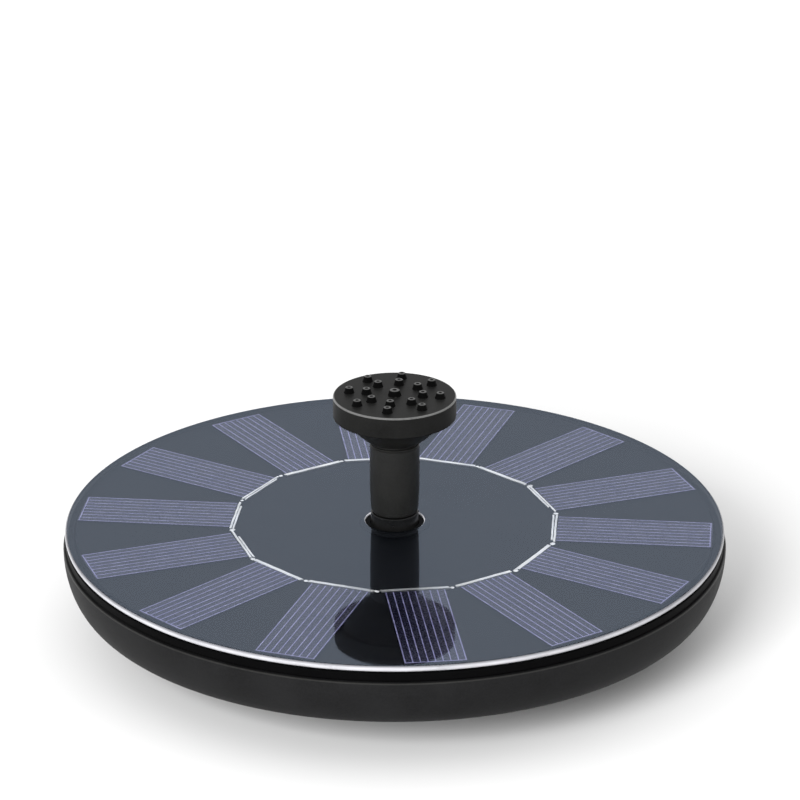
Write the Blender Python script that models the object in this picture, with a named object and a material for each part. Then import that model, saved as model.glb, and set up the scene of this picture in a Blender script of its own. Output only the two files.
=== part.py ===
"""Floating solar fountain pump: a round float with a solar deck, a pump hung under it and a nozzle on top.

Metres, +Z up. The origin is at the centre of the strainer's foot, the lowest flat face.
"""

import math

import bmesh
import bpy
from mathutils import Matrix, Vector

mm = 0.001

# The float and its deck.
FLOAT_RADIUS = 80.0 * mm
SHELL_BOTTOM = 11.9 * mm
SHELL_FLAT = 74.2 * mm
SHELL_OPENING = 32.5 * mm
SEAM = 24.0 * mm
WALL = 1.8 * mm
RIB_COUNT = 8
COVER_RADIUS = 79.5 * mm
COVER_THICKNESS = 1.5 * mm
COVER_SKIN = 0.45 * mm
COVER_RECESS = 77.3 * mm
DECK_TOP = 28.0 * mm
DECK_HOLE = 8.6 * mm
COVER_HOLE = 7.1 * mm
BAND_RADIUS = 79.4 * mm
BAND_BORE = 77.3 * mm
BAND_TOP = 26.3 * mm
TRAY_SPIGOT = 77.9 * mm
TRAY_BOTTOM = 23.4 * mm
TRAY_TOP = 24.45 * mm
BOARD_BOTTOM = 25.4 * mm
BOARD_TOP = 27.1 * mm

# The cells stand in a star inside the clear cover's edge, turned a little from the X axis.
CELL_COUNT = 14
CELL_WIDTH = 14.2 * mm
CELL_INNER = 39.3 * mm
CELL_OUTER = 76.6 * mm
CELL_BOTTOM = 27.2 * mm
CELL_TOP = 27.4 * mm
STAR_TURN = math.radians(6.9)
RIBBON_WIDTH = 1.0 * mm
RIBBON_TOP = 27.45 * mm

# The pump: its rotor stands beside the central outlet, in a well that keeps the water from the windings.
ROTOR_X = -18.5 * mm
SHAFT_RADIUS = 1.0 * mm
MAGNET_RADIUS = 5.0 * mm
WELL_BORE = 5.5 * mm
WELL_RADIUS = 6.4 * mm
WELL_ROOF = 18.6 * mm
WELL_TOP = 21.2 * mm
POCKET_RADIUS = 2.9 * mm
VOLUTE_BORE = 9.6 * mm
VOLUTE_RADIUS = 11.1 * mm
VOLUTE_BOTTOM = 5.7 * mm
VOLUTE_ROOF = 11.2 * mm
INLET_PLATE_BOTTOM = 3.9 * mm
INLET_PLATE_TOP = 5.5 * mm
STATOR_RADIUS = 10.8 * mm
CUP_BORE = 11.1 * mm
CUP_RADIUS = 12.0 * mm
CUP_TOP = 20.9 * mm
WATERWAY = 3.2 * mm
CHANNEL_WIDTH = 4.4 * mm
CHANNEL_BOTTOM = 6.6 * mm
OUTLET_BOSS = 5.4 * mm
STRAINER_RADIUS = 32.0 * mm
STRAINER_WALL = 1.6 * mm
STRAINER_TOP = 8.8 * mm
FLANGE_RADIUS = 40.0 * mm
FLANGE_BOTTOM = 9.0 * mm
FLANGE_TOP = 10.8 * mm
SCREW_CIRCLE = 36.4 * mm
SCREW_COUNT = 4
POST_TOP = 20.0 * mm
LEAD_HOLE_X = 14.0 * mm

# The nozzle: three push-fits from the outlet pipe's collar to the head.
COLLAR_RADIUS = 5.75 * mm
COLLAR_BOTTOM = 21.2 * mm
COLLAR_TOP = 30.4 * mm
SPIGOT_RADIUS = 4.3 * mm
SPIGOT_LENGTH = 6.0 * mm
RISER_BORE = 4.6 * mm
RISER_RADIUS = 5.95 * mm
RISER_TOP = 48.4 * mm
HEAD_RADIUS = 14.75 * mm
HEAD_WALL = 1.35 * mm
HEAD_BOTTOM = 55.2 * mm
HEAD_TOP = 60.5 * mm
HEAD_SKIN = 1.5 * mm
JET_RINGS = ((0.0, 1), (6.8 * mm, 8), (11.0 * mm, 8))
JET_HEIGHT = 1.35 * mm
JET_START = math.radians(81)

# Clearances between pieces that touch, and how finely round things are cut.
FIT = 0.3 * mm
REST = 0.2 * mm
RUN = 0.1 * mm
COARSE, MIDDLE, FINE = 12, 24, 48


def remove_everything():
    for thing in list(bpy.data.objects):
        bpy.data.objects.remove(thing)


def finish_of(name, colour, roughness, metallic=0.0, alpha=1.0):
    """A Principled BSDF of that colour."""
    material = bpy.data.materials.new(name)
    material.use_nodes = True
    shader = material.node_tree.nodes["Principled BSDF"]
    shader.inputs["Base Color"].default_value = (*colour, 1.0)
    shader.inputs["Roughness"].default_value = roughness
    shader.inputs["Metallic"].default_value = metallic
    shader.inputs["Alpha"].default_value = alpha
    return material


def empty_at(name, x=0.0):
    """An empty that parts hang from, on a joint's axis where they move."""
    guide = bpy.data.objects.new(name, None)
    guide.location = (x, 0, 0)
    bpy.context.collection.objects.link(guide)
    return guide


def add_object(name, mesh, material, parent, smooth=True):
    """Turns a bmesh into an object with its faces pointing out."""
    bmesh.ops.recalc_face_normals(mesh, faces=mesh.faces)
    data = bpy.data.meshes.new(name)
    mesh.to_mesh(data)
    mesh.free()
    if smooth:
        data.shade_smooth()
        data.set_sharp_from_angle(angle=math.radians(35))
    data.materials.append(material)
    made = bpy.data.objects.new(name, data)
    made.parent = parent
    bpy.context.collection.objects.link(made)
    return made


# Flat outlines, as lists of (x, y) points.


def arc(radius, start, end, steps, centre=(0.0, 0.0)):
    """Points on a circle from the start angle to the end angle."""
    angles = [start + (end - start) * i / steps for i in range(steps + 1)]
    return [(centre[0] + radius * math.cos(a), centre[1] + radius * math.sin(a)) for a in angles]


def rectangle(x0, x1, y0, y1):
    return [(x0, y0), (x1, y0), (x1, y1), (x0, y1)]


def sector(inner, outer, start, end, steps=4):
    """A piece of a flat ring between two angles."""
    return arc(inner, start, end, steps) + arc(outer, end, start, steps)


def cross(reach, half):
    """A plus sign, for a screw's recess."""
    quarter = [(reach, -half), (reach, half), (half, half)]
    return [point for turns in range(4) for point in rotated(quarter, turns * math.pi / 2)]


def teardrop(large, small, steps=16):
    """The outline round the volute and the outlet: two circles and their outer tangents."""
    lean = math.acos((large - small) / -ROTOR_X)
    return arc(large, lean, math.tau - lean, steps, (ROTOR_X, 0)) + arc(small, -lean, lean, steps // 2)


def channel():
    """The discharge channel's plan: it leaves the volute along a tangent and ends under the outlet."""
    reach = VOLUTE_BORE - CHANNEL_WIDTH / 2
    length = math.sqrt(ROTOR_X**2 - reach**2)
    plan = rectangle(-length, 0, -CHANNEL_WIDTH / 2, CHANNEL_WIDTH / 2)
    return rotated(plan, -math.asin(reach / -ROTOR_X))


def rotated(outline, angle):
    turn_by = Matrix.Rotation(angle, 2)
    return [tuple(turn_by @ Vector(point)) for point in outline]


def around(count, start=0.0):
    return [start + math.tau * i / count for i in range(count)]


def on_circle(radius, angle):
    return (radius * math.cos(angle), radius * math.sin(angle))


# Solids, added to a bmesh.


def turn(mesh, outline, segments, centre=(0.0, 0.0)):
    """Spins (radius, height) points round a vertical axis. Two ends that lie on the axis stay unjoined."""
    points = [mesh.verts.new((centre[0] + r, centre[1], z)) for r, z in outline]
    follow = points[1:] if outline[0][0] == outline[-1][0] == 0 else points[1:] + points[:1]
    edges = [mesh.edges.new(pair) for pair in zip(points, follow, strict=False)]
    bmesh.ops.spin(
        mesh,
        geom=points + edges,
        cent=(*centre, 0),
        axis=(0, 0, 1),
        angle=math.tau,
        steps=segments,
    )
    bmesh.ops.remove_doubles(mesh, verts=mesh.verts, dist=1e-6)


def extrude(mesh, outline, bottom, top):
    """Raises a flat outline from bottom to top."""
    face = mesh.faces.new([mesh.verts.new((x, y, bottom)) for x, y in outline])
    raised = bmesh.ops.extrude_face_region(mesh, geom=[face])["geom"]
    moved = [part for part in raised if isinstance(part, bmesh.types.BMVert)]
    bmesh.ops.translate(mesh, verts=moved, vec=(0, 0, top - bottom))


def peg(mesh, radius, bottom, top, centre=(0.0, 0.0), segments=COARSE):
    """One upright cylinder."""
    turn(mesh, [(0, bottom), (radius, bottom), (radius, top), (0, top)], segments, centre)


# Objects made from one solid, and Booleans between objects.


def turned(name, outline, material, parent, segments=MIDDLE):
    mesh = bmesh.new()
    turn(mesh, outline, segments)
    return add_object(name, mesh, material, parent)


def ring(name, radii, heights, material, parent, segments=MIDDLE):
    """A flat ring: its inner and outer radius, and its bottom and top."""
    (inner, outer), (bottom, top) = radii, heights
    outline = [(inner, bottom), (outer, bottom), (outer, top), (inner, top)]
    return turned(name, outline, material, parent, segments)


def block(name, low, high, material, parent):
    """A box between two corners."""
    mesh = bmesh.new()
    extrude(mesh, rectangle(low[0], high[0], low[1], high[1]), low[2], high[2])
    return add_object(name, mesh, material, parent, False)


def combine(target, mesh, operation):
    """A Boolean on the target. The other shape stays as a hidden guide."""
    name = f"{target.name}_{operation.lower()}"
    guide = add_object(name, mesh, target.data.materials[0], target.parent, False)
    guide.location = target.location
    guide.hide_render = True
    guide.display_type = "WIRE"
    step = target.modifiers.new(operation.title(), "BOOLEAN")
    step.operation = operation
    step.solver = "EXACT"
    step.object = guide


def cut(target, mesh):
    combine(target, mesh, "DIFFERENCE")


def join(target, mesh):
    combine(target, mesh, "UNION")


# The deck.


def make_cover(parent, material):
    """The clear cover: a thin skin over the cells, a thick rounded rim and an opening round the seal."""
    half = COVER_THICKNESS / 2
    middle = DECK_TOP - half
    rim = arc(half, -math.pi / 2, math.pi / 2, 4, (COVER_RADIUS - half, middle))
    under = DECK_TOP - COVER_SKIN
    recess = [(COVER_HOLE, under), (COVER_RECESS, under), (COVER_RECESS, middle - half)]
    turned("panel_cover", [*recess, *rim, (COVER_HOLE, DECK_TOP)], material, parent, FINE)


def make_cells(parent, material):
    """Flat cells in a star, one object each. They share a mesh."""
    mesh = bmesh.new()
    extrude(mesh, rectangle(CELL_INNER, CELL_OUTER, -CELL_WIDTH / 2, CELL_WIDTH / 2), CELL_BOTTOM, CELL_TOP)
    cell = add_object("solar_cell_01", mesh, material, parent, False)
    first, *others = around(CELL_COUNT, STAR_TURN + math.pi / CELL_COUNT)
    cell.rotation_euler = (0, 0, first)
    for i, angle in enumerate(others):
        copy = bpy.data.objects.new(f"solar_cell_{i + 2:02d}", cell.data)
        copy.parent = parent
        copy.rotation_euler = (0, 0, angle)
        bpy.context.collection.objects.link(copy)


def make_bus_ribbon(parent, material):
    """The tinned ribbon that links the cells: a polygon with a side for each cell, open at one corner."""
    corner = 1 / math.cos(math.pi / CELL_COUNT)
    outer = (CELL_INNER - FIT) * corner
    inner = outer - RIBBON_WIDTH * corner
    gap = math.radians(1.2)
    angles = [gap, *around(CELL_COUNT)[1:], math.tau - gap]
    sides = [[on_circle(radius, STAR_TURN + angle) for angle in angles] for radius in (inner, outer)]
    mesh = bmesh.new()
    extrude(mesh, sides[0] + sides[1][::-1], CELL_BOTTOM, RIBBON_TOP)
    add_object("bus_ribbon", mesh, material, parent, False)


def make_tray(parent, material):
    """The tray that closes the float: its rim is the dark band, and its spigot drops inside the shell."""
    spigot_bottom = TRAY_BOTTOM - 2.0 * mm
    spigot_bore = TRAY_SPIGOT - 1.5 * mm
    rim_bottom = SEAM + REST
    chamfer = 0.3 * mm
    outline = [
        (DECK_HOLE, TRAY_BOTTOM),
        (spigot_bore, TRAY_BOTTOM),
        (spigot_bore, spigot_bottom),
        (TRAY_SPIGOT, spigot_bottom),
        (TRAY_SPIGOT, rim_bottom),
        (BAND_RADIUS - chamfer, rim_bottom),
        (BAND_RADIUS, rim_bottom + chamfer),
        (BAND_RADIUS, BAND_TOP),
        (BAND_BORE, BAND_TOP),
        (BAND_BORE, TRAY_TOP),
        (DECK_HOLE, TRAY_TOP),
    ]
    tray = turned("deck_tray", outline, material, parent, FINE)
    mesh = bmesh.new()
    peg(mesh, 2.6 * mm, TRAY_BOTTOM - 1 * mm, TRAY_TOP + 1 * mm, (LEAD_HOLE_X, 0))
    cut(tray, mesh)


def make_deck_seal(parent, material):
    """The grommet round the collar, grooved for the tray's hole."""
    bore = COLLAR_RADIUS + REST
    groove, lip = DECK_HOLE - FIT, DECK_HOLE + 1.2 * mm
    outline = [
        (bore, COLLAR_BOTTOM + 0.2 * mm),
        (lip, COLLAR_BOTTOM + 0.2 * mm),
        (lip, TRAY_BOTTOM - REST),
        (groove, TRAY_BOTTOM - REST),
        (groove, TRAY_TOP + REST),
        (lip, TRAY_TOP + REST),
        (lip, BOARD_BOTTOM - REST),
        (groove, BOARD_BOTTOM - REST),
        (groove, CELL_TOP),
        (bore, CELL_TOP),
    ]
    turned("deck_seal", outline, material, parent)


def make_deck(parent, finishes):
    make_cover(parent, finishes["clear"])
    make_cells(parent, finishes["cell"])
    make_bus_ribbon(parent, finishes["tin"])
    make_tray(parent, finishes["gloss"])
    make_deck_seal(parent, finishes["rubber"])
    board = (DECK_HOLE, BAND_BORE - FIT)
    ring("backing_board", board, (BOARD_BOTTOM, BOARD_TOP), finishes["board"], parent, FINE)
    bead = (TRAY_TOP + 0.1 * mm, BOARD_BOTTOM - 0.1 * mm)
    ring("panel_sealant", (70 * mm, 73 * mm), bead, finishes["silicone"], parent, FINE)


# The float's bowl and what is screwed to it.


def make_float_shell(parent, material):
    """The bowl: its flat bottom turns up along a quarter ellipse, with screw posts and ribs inside."""
    spring = SEAM - REST
    across, rise = FLOAT_RADIUS - SHELL_FLAT, spring - SHELL_BOTTOM

    def curve(inset, steps):
        angles = [-math.pi / 2 * (1 - i / steps) for i in range(steps + 1)]
        return [
            (SHELL_FLAT + (across - inset) * math.cos(a), spring + (rise - inset) * math.sin(a))
            for a in angles
        ]

    outline = [
        (SHELL_OPENING, SHELL_BOTTOM),
        *curve(0, 8),
        (FLOAT_RADIUS - REST, SEAM),
        (FLOAT_RADIUS - WALL, SEAM),
        *reversed(curve(WALL, 5)),
        (SHELL_OPENING, SHELL_BOTTOM + WALL),
    ]
    shell = turned("float_shell", outline, material, parent, FINE)
    inside = SHELL_BOTTOM + WALL / 2
    added, removed = bmesh.new(), bmesh.new()
    for angle in around(SCREW_COUNT, math.pi / 4):
        centre = on_circle(SCREW_CIRCLE, angle)
        peg(added, 3.4 * mm, inside, POST_TOP, centre)
        peg(removed, 1.6 * mm, SHELL_BOTTOM - 1 * mm, POST_TOP - 1.4 * mm, centre, 10)
    for angle in around(RIB_COUNT, math.pi / RIB_COUNT):
        rib = rectangle(42 * mm, SHELL_FLAT + 0.5 * mm, -0.7 * mm, 0.7 * mm)
        extrude(added, rotated(rib, angle), inside, TRAY_BOTTOM - FIT)
    join(shell, added)
    cut(shell, removed)


def make_gasket(parent, material):
    inner, outer = SHELL_OPENING + 0.5 * mm, FLANGE_RADIUS - 0.4 * mm
    thickness = (FLANGE_TOP + 0.15 * mm, SHELL_BOTTOM - 0.15 * mm)
    gasket = ring("housing_gasket", (inner, outer), thickness, material, parent, FINE)
    holes = bmesh.new()
    for angle in around(SCREW_COUNT, math.pi / 4):
        peg(holes, 1.9 * mm, FLANGE_TOP, SHELL_BOTTOM, on_circle(SCREW_CIRCLE, angle), 10)
    cut(gasket, holes)


def make_screws(parent, material):
    """Pan head screws, driven up through the flange into the shell's posts."""
    head_radius, shank_radius = 2.6 * mm, 1.3 * mm
    neck = FLANGE_BOTTOM - REST
    head, tip = neck - 1.7 * mm, POST_TOP - 2.5 * mm
    outline = [
        (0, head),
        (head_radius - 0.7 * mm, head),
        (head_radius, head + 0.7 * mm),
        (head_radius, neck),
        (shank_radius, neck),
        (shank_radius, tip - 1.5 * mm),
        (0, tip),
    ]
    for i, angle in enumerate(around(SCREW_COUNT, math.pi / 4)):
        screw = turned(f"housing_screw_{i + 1}", outline, material, parent, 12)
        screw.location = (*on_circle(SCREW_CIRCLE, angle), 0)
        recess = bmesh.new()
        extrude(recess, cross(1.4 * mm, 0.3 * mm), head - 1 * mm, head + 0.9 * mm)
        cut(screw, recess)


# The pump.


def make_housing(parent, material):
    """The pump base: a screwed flange, the volute below it, and the rotor's well and stator's cup above."""
    skirt = (STRAINER_RADIUS - STRAINER_WALL - 2.0 * mm, STRAINER_RADIUS - STRAINER_WALL - 0.4 * mm)
    skirt_bottom = 6.4 * mm
    middle = (FLANGE_BOTTOM + FLANGE_TOP) / 2
    flange = [
        (0, FLANGE_BOTTOM),
        (skirt[0], FLANGE_BOTTOM),
        (skirt[0], skirt_bottom),
        (skirt[1], skirt_bottom),
        (skirt[1], FLANGE_BOTTOM),
        (FLANGE_RADIUS, FLANGE_BOTTOM),
        (FLANGE_RADIUS, FLANGE_TOP),
        (0, FLANGE_TOP),
    ]
    housing = turned("pump_housing", flange, material, parent, FINE)
    volute = bmesh.new()
    extrude(volute, teardrop(VOLUTE_RADIUS, OUTLET_BOSS), VOLUTE_BOTTOM, middle)
    join(housing, volute)
    well = [
        (0, middle),
        (VOLUTE_RADIUS, middle),
        (VOLUTE_RADIUS, VOLUTE_ROOF + 1.2 * mm),
        (WELL_RADIUS, VOLUTE_ROOF + 1.2 * mm),
        (WELL_RADIUS, WELL_ROOF + 0.2 * mm),
        (POCKET_RADIUS + 1.3 * mm, WELL_TOP),
        (0, WELL_TOP),
    ]
    raised = bmesh.new()
    turn(raised, well, MIDDLE, (ROTOR_X, 0))
    peg(raised, OUTLET_BOSS + 0.8 * mm, middle, 14 * mm, segments=MIDDLE)
    join(housing, raised)
    cup = bmesh.new()
    turn(
        cup,
        [(CUP_BORE, middle), (CUP_RADIUS, middle), (CUP_RADIUS, CUP_TOP), (CUP_BORE, CUP_TOP)],
        MIDDLE,
        (ROTOR_X, 0),
    )
    join(housing, cup)
    carve_housing(housing)


def carve_housing(housing):
    """The wet spaces inside the pump base, its screw holes and the leads' notch."""
    chamber = [
        (0, VOLUTE_BOTTOM - 1 * mm),
        (VOLUTE_BORE, VOLUTE_BOTTOM - 1 * mm),
        (VOLUTE_BORE, VOLUTE_ROOF),
        (WELL_BORE, VOLUTE_ROOF),
        (WELL_BORE, WELL_ROOF),
        (POCKET_RADIUS, WELL_ROOF),
        (POCKET_RADIUS, WELL_TOP - 0.8 * mm),
        (0, WELL_TOP - 0.8 * mm),
    ]
    wet = bmesh.new()
    turn(wet, chamber, MIDDLE, (ROTOR_X, 0))
    cut(housing, wet)
    passage = bmesh.new()
    extrude(passage, channel(), CHANNEL_BOTTOM, 9.7 * mm)
    cut(housing, passage)
    socket = [
        (0, CHANNEL_BOTTOM),
        (WATERWAY, CHANNEL_BOTTOM),
        (WATERWAY, 10.2 * mm),
        (OUTLET_BOSS - 0.4 * mm, 10.2 * mm),
        (OUTLET_BOSS - 0.4 * mm, 15 * mm),
        (0, 15 * mm),
    ]
    openings = bmesh.new()
    turn(openings, socket, MIDDLE)
    for angle in around(SCREW_COUNT, math.pi / 4):
        centre = on_circle(SCREW_CIRCLE, angle)
        peg(openings, 1.7 * mm, FLANGE_BOTTOM - 1 * mm, FLANGE_TOP + 1 * mm, centre, 10)
    extrude(openings, rectangle(-11 * mm, -6 * mm, -6.5 * mm, 6.5 * mm), 19.5 * mm, 22 * mm)
    cut(housing, openings)


def make_outlet_pipe(parent, material):
    """The pipe to the top: a foot in the housing, a collar through the deck and the riser's spigot."""
    chamfer = 0.4 * mm
    spigot_top = COLLAR_TOP + SPIGOT_LENGTH
    outline = [
        (WATERWAY, 10.4 * mm),
        (OUTLET_BOSS - 0.7 * mm, 10.4 * mm),
        (OUTLET_BOSS - 0.7 * mm, 14.2 * mm),
        (OUTLET_BOSS + 0.6 * mm, 14.2 * mm),
        (OUTLET_BOSS + 0.6 * mm, 15.4 * mm),
        (SPIGOT_RADIUS + REST, 15.4 * mm),
        (SPIGOT_RADIUS + REST, COLLAR_BOTTOM),
        (COLLAR_RADIUS, COLLAR_BOTTOM),
        (COLLAR_RADIUS, COLLAR_TOP - chamfer),
        (COLLAR_RADIUS - chamfer, COLLAR_TOP),
        (SPIGOT_RADIUS, COLLAR_TOP),
        (SPIGOT_RADIUS, spigot_top - chamfer),
        (SPIGOT_RADIUS - chamfer, spigot_top),
        (WATERWAY, spigot_top),
    ]
    turned("outlet_pipe", outline, material, parent)


def make_volute_cover(parent, material):
    """The plate that closes the volute from below, with three inlet openings round the lower bush."""
    mesh = bmesh.new()
    extrude(mesh, teardrop(VOLUTE_RADIUS, OUTLET_BOSS), INLET_PLATE_BOTTOM, INLET_PLATE_TOP)
    cover = add_object("volute_cover", mesh, material, parent)
    bottom, top = INLET_PLATE_BOTTOM - 1 * mm, INLET_PLATE_TOP + 1 * mm
    openings = bmesh.new()
    for angle in around(3):
        inlet = sector(2.9 * mm, 5.0 * mm, angle + math.radians(14), angle + math.radians(106))
        extrude(openings, [(x + ROTOR_X, y) for x, y in inlet], bottom, top)
    peg(openings, 2.0 * mm, bottom, top, (ROTOR_X, 0), COARSE)
    cut(cover, openings)


def make_strainer(parent, material):
    """The pull-off strainer cup: slots round its side and in its floor, and two grip ribs."""
    inner = STRAINER_RADIUS - STRAINER_WALL
    floor = 1.8 * mm
    corner = 2.2 * mm
    outline = [
        (0, 0),
        *arc(corner, -math.pi / 2, 0, 3, (STRAINER_RADIUS - corner, corner)),
        (STRAINER_RADIUS, STRAINER_TOP),
        (inner, STRAINER_TOP),
        (inner, floor),
        (0, floor),
    ]
    cup = turned("strainer_cup", outline, material, parent, FINE)
    grips, slots = bmesh.new(), bmesh.new()
    for angle in (math.pi / 2, -math.pi / 2):
        grip = rectangle(STRAINER_RADIUS - 0.8 * mm, STRAINER_RADIUS + 1.2 * mm, -5 * mm, 5 * mm)
        extrude(grips, rotated(grip, angle), 3.0 * mm, 5.0 * mm)
    join(cup, grips)
    for angle in around(24, math.pi / 24):
        clear_of_grips = abs(math.cos(angle)) > 0.2
        if clear_of_grips:
            side = rectangle(inner - 1 * mm, STRAINER_RADIUS + 1 * mm, -1.1 * mm, 1.1 * mm)
            extrude(slots, rotated(side, angle), 2.9 * mm, 6.9 * mm)
    for angle in around(16):
        under = rectangle(12 * mm, 25 * mm, -1 * mm, 1 * mm)
        extrude(slots, rotated(under, angle), -1 * mm, floor + 1 * mm)
    cut(cup, slots)


def make_impeller(parent, finishes):
    """The wet rotor: hub, backplate and swept blades, with a sleeve that carries the ring magnet."""
    bore, sleeve = SHAFT_RADIUS + RUN, 3.0 * mm
    blade_bottom, plate_bottom, plate_top = 6.5 * mm, 9.6 * mm, 10.5 * mm
    tip = VOLUTE_BORE - 1.3 * mm
    outline = [
        (bore, blade_bottom),
        (2.4 * mm, blade_bottom),
        (2.4 * mm, plate_bottom),
        (tip, plate_bottom),
        (tip, plate_top),
        (sleeve, plate_top),
        (sleeve, 17.7 * mm),
        (sleeve + 1 * mm, 17.7 * mm),
        (sleeve + 1 * mm, 18.2 * mm),
        (bore, 18.2 * mm),
    ]
    impeller = turned("impeller", outline, finishes["matte"], parent)
    blades = bmesh.new()
    for angle in around(6):
        extrude(blades, blade(3.2 * mm, tip - 0.2 * mm, angle), blade_bottom, plate_bottom + 0.4 * mm)
    join(impeller, blades)
    magnet = (sleeve + REST, MAGNET_RADIUS)
    ring("rotor_magnet", magnet, (plate_top + REST, 17.5 * mm), finishes["ferrite"], parent)


def blade(root, tip, angle, sweep=math.radians(32), half=0.45 * mm, steps=4):
    """The plan of one blade: an even strip along a spiral."""
    spine = [(root + (tip - root) * i / steps, angle + sweep * i / steps) for i in range(steps + 1)]
    sides = [
        [(r * math.cos(a) + side * math.sin(a), r * math.sin(a) - side * math.cos(a)) for r, a in spine]
        for side in (half, -half)
    ]
    return sides[0] + sides[1][::-1]


def claw_pole(name, plate_bottom, teeth_heights, start, parent, material):
    """A stator plate with four teeth bent along the well."""
    inner = WELL_RADIUS + REST
    plate = ring(name, (inner, STATOR_RADIUS), (plate_bottom, plate_bottom + 0.7 * mm), material, parent)
    half = math.radians(17)
    teeth = bmesh.new()
    for angle in around(4, start):
        tooth = sector(inner + 0.03 * mm, inner + 0.7 * mm, angle - half, angle + half)
        extrude(teeth, tooth, *teeth_heights)
    join(plate, teeth)


def make_stator(parent, finishes):
    """The dry side of the motor, round the well: claw poles, bobbin and coil."""
    claw_pole("lower_claw_pole", 12.6 * mm, (12.9 * mm, 17.4 * mm), 0.0, parent, finishes["steel"])
    claw_pole("upper_claw_pole", 18.2 * mm, (14.2 * mm, 18.5 * mm), math.pi / 4, parent, finishes["steel"])
    core, hub, rim = 7.5 * mm, 8.2 * mm, 10.7 * mm
    bottom, top, cheek = 13.5 * mm, 18.0 * mm, 0.6 * mm
    spool = [
        (core, bottom),
        (rim, bottom),
        (rim, bottom + cheek),
        (hub, bottom + cheek),
        (hub, top - cheek),
        (rim, top - cheek),
        (rim, top),
        (core, top),
    ]
    turned("coil_bobbin", spool, finishes["nylon"], parent)
    coil = (bottom + cheek + REST, top - cheek - REST)
    ring("coil_winding", (hub + REST, rim - FIT), coil, finishes["copper"], parent)


def make_driver(parent, finishes):
    """The motor's board over the coil, with its three components."""
    board_top = 19.8 * mm
    ring("stator_board", (6.7 * mm, STATOR_RADIUS), (19.1 * mm, board_top), finishes["board"], parent)
    foot = board_top + 0.1 * mm
    components = (
        ("driver_chip", (-9.9, -1.5), (3.0, 3.0, 0.9), "epoxy"),
        ("hall_sensor", (-1.0, 7.0), (2.0, 1.4, 0.7), "epoxy"),
        ("smoothing_capacitor", (-1.2, -9.6), (2.4, 2.2, 1.0), "ceramic"),
    )
    for name, corner, size, finish in components:
        low = (corner[0] * mm, corner[1] * mm, foot)
        high = (low[0] + size[0] * mm, low[1] + size[1] * mm, foot + size[2] * mm)
        block(name, low, high, finishes[finish], parent)


def make_shaft(parent, finishes):
    """The fixed ceramic shaft that the rotor turns on, its two rubber bushes and the thrust washer."""
    bore = SHAFT_RADIUS + RUN
    mesh = bmesh.new()
    peg(mesh, SHAFT_RADIUS, 4.2 * mm, 20 * mm)
    add_object("motor_shaft", mesh, finishes["ceramic"], parent)
    ring("lower_bush", (bore, 1.8 * mm), (4.0 * mm, 5.9 * mm), finishes["rubber"], parent, COARSE)
    ring("upper_bush", (bore, 2.6 * mm), (18.8 * mm, 20.2 * mm), finishes["rubber"], parent, COARSE)
    ring("thrust_washer", (bore, 2.2 * mm), (6.05 * mm, 6.35 * mm), finishes["ceramic"], parent, COARSE)


def make_lead(name, side, material, parent):
    """An insulated lead from the deck's board, down past the outlet pipe and onto the motor's board."""
    stops = (
        (14.0, 1.2, 25.1),
        (14.0, 1.3, 21.4),
        (13.4, 2.2, 18.6),
        (10.0, 6.2, 17.2),
        (3.0, 8.6, 17.8),
        (-2.0, 7.4, 19.4),
        (-6.0, 5.0, 20.4),
        (-9.6, 4.0, 20.4),
    )
    points = [Vector((x * mm, side * y * mm, z * mm)) for x, y, z in stops]
    route = [point for i in range(len(points) - 1) for point in between(points, i, 4)] + [points[-1]]
    curve = bpy.data.curves.new(name, "CURVE")
    curve.dimensions = "3D"
    spline = curve.splines.new("POLY")
    spline.points.add(len(route) - 1)
    for place, point in zip(spline.points, route, strict=True):
        place.co = (*point, 1)
    curve.bevel_depth = 0.45 * mm
    curve.bevel_resolution = 1
    curve.use_fill_caps = True
    curve.materials.append(material)
    lead = bpy.data.objects.new(name, curve)
    lead.parent = parent
    bpy.context.collection.objects.link(lead)


def between(points, i, steps):
    """Points of a smooth curve from stop i up to the next one."""
    before, after = points[max(i - 1, 0)], points[min(i + 2, len(points) - 1)]
    start, end = points[i], points[i + 1]
    leave, arrive = (end - before) / 2, (after - start) / 2
    found = []
    for step in range(steps):
        t = step / steps
        along = (2 * t**3 - 3 * t**2 + 1) * start + (3 * t**2 - 2 * t**3) * end
        found.append(along + (t**3 - 2 * t**2 + t) * leave + (t**3 - t**2) * arrive)
    return found


# The nozzle.


def make_riser(parent, material):
    """The barrel between the collar and the spray head, narrower at its foot and fuller at its middle."""
    bottom = COLLAR_TOP + REST
    foot = COLLAR_RADIUS
    start, end, swell = bottom + 0.8 * mm, RISER_TOP - 0.3 * mm, 0.15 * mm
    steps = 5
    side = [
        (foot + (RISER_RADIUS - foot) * t + swell * math.sin(math.pi * t), start + (end - start) * t)
        for t in (i / steps for i in range(steps + 1))
    ]
    outline = [
        (RISER_BORE, bottom),
        (foot - 0.7 * mm, bottom),
        (foot - 0.2 * mm, bottom + 0.25 * mm),
        *side,
        (RISER_RADIUS - 0.3 * mm, RISER_TOP),
        (RISER_BORE, RISER_TOP),
    ]
    turned("riser_tube", outline, material, parent)


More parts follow.
